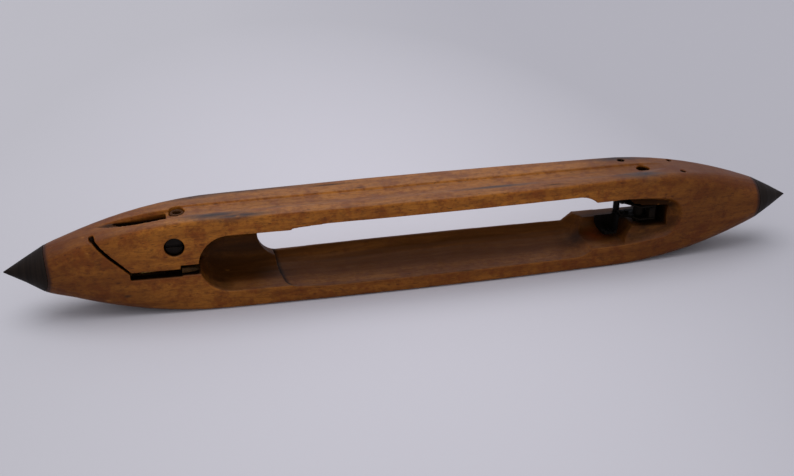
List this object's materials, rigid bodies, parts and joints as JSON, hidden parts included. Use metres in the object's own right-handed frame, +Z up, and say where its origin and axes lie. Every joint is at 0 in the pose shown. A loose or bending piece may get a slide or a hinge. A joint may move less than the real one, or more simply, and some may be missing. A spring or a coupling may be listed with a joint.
{
  "type": "power-loom weaving shuttle",
  "caption": "Wooden loom shuttle with pointed steel tips, an open pirn trough with a spring clip, and a self-threading eye.",
  "frame": {"origin": "centre of the bounding box's underside, on the back wall that the shuttle lies on", "axes": "+X along the shuttle from the eye end to the clip end, -Y out of the open mouth, +Z up through the front wall"},
  "size_m": [0.41, 0.034, 0.05],
  "materials": {
    "wood": "worn satin varnish",
    "tip_steel": "dark, dull ground steel",
    "block_iron": "dull casting",
    "screw_steel": "dull and dark",
    "eye_steel": "polished by the yarn",
    "leaf_brass": "tarnished",
    "clip_steel": "blackened spring steel",
    "bolt_steel": "dull and dark",
    "pin_steel": "blackened"
  },
  "bodies": {
    "body": {"shuttle_body": "wood", "left_tip": "tip_steel", "right_tip": "tip_steel", "threading_block": "block_iron", "threading_block_screw": "screw_steel", "thread_eye": "eye_steel", "tension_leaf_screw": "leaf_brass", "clip_base": "clip_steel", "clip_base_rivet": "clip_steel", "clip_spacer": "clip_steel", "clip_bolt": "bolt_steel", "clip_washer": "bolt_steel", "clip_nut": "bolt_steel", "stop_pin": "pin_steel", "far_end_pin": "pin_steel", "near_end_pin": "pin_steel"},
    "upper_clip_jaw": {"upper_spring_arm": "clip_steel", "upper_jaw": "clip_steel", "upper_jaw_rivet_1": "clip_steel", "upper_jaw_rivet_2": "clip_steel"},
    "lower_clip_jaw": {"lower_spring_arm": "clip_steel", "lower_jaw": "clip_steel", "lower_jaw_rivet_1": "clip_steel", "lower_jaw_rivet_2": "clip_steel"},
    "thread_tension": {"tension_leaf": "leaf_brass"}
  },
  "joints": [
    {"name": "upper_jaw_flex", "type": "hinge", "parent": "body", "child": "upper_clip_jaw", "pos_m": [0.1245, 0, 0.025], "axis": [0, 1, 0], "range_deg": [0, 3], "stiffness_Nm_per_rad": 8},
    {"name": "lower_jaw_flex", "type": "hinge", "parent": "body", "child": "lower_clip_jaw", "pos_m": [0.1245, 0, 0.025], "axis": [0, -1, 0], "range_deg": [0, 3], "stiffness_Nm_per_rad": 8},
    {"name": "tension_leaf_flex", "type": "hinge", "parent": "body", "child": "thread_tension", "pos_m": [-0.138, 0, 0.0202], "axis": [0, 1, 0], "range_deg": [0, 3.5], "stiffness_Nm_per_rad": 0.06}
  ]
}
